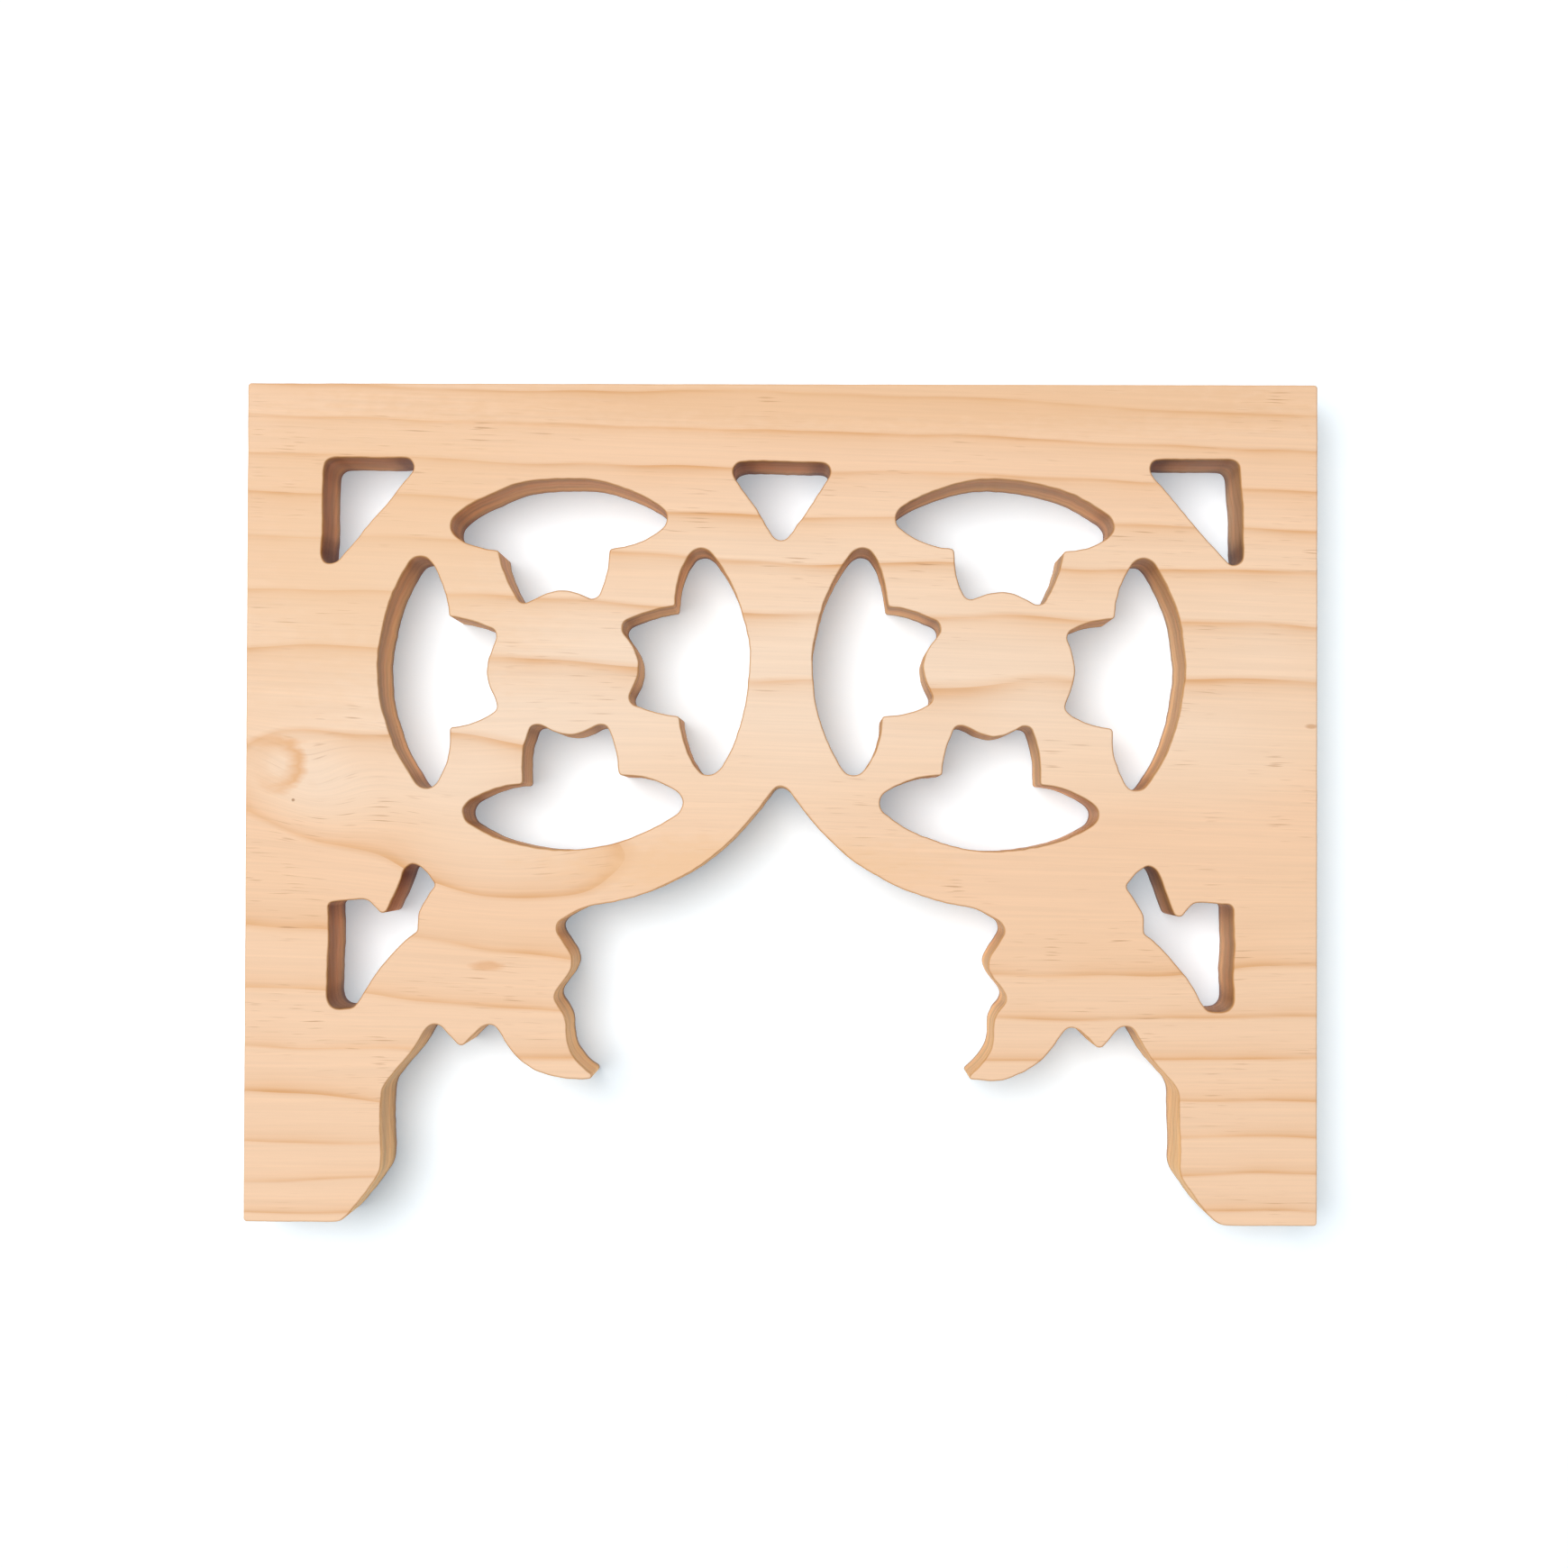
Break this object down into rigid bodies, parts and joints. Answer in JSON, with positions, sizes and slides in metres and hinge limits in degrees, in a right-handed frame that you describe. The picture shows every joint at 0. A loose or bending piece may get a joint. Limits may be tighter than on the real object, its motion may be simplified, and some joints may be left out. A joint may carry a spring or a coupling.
{
  "type": "carved fretwork grille",
  "caption": "Thick softwood board sawn into a grille with turned rosettes, triangles, leaves and a pointed arch between square feet.",
  "frame": {"origin": "on the back face, at the middle of the panel's width and height, with the panel lying on its back", "axes": "+X along the width and the grain, +Y from the feet to the top edge, +Z out of the front face"},
  "size_m": [0.37, 0.29, 0.042],
  "materials": {
    "fretwork_panel": "bare planed softwood, unvarnished, with sawn and rasped inner walls"
  },
  "bodies": {
    "root": {"fretwork_panel": "fretwork_panel"}
  },
  "joints": []
}
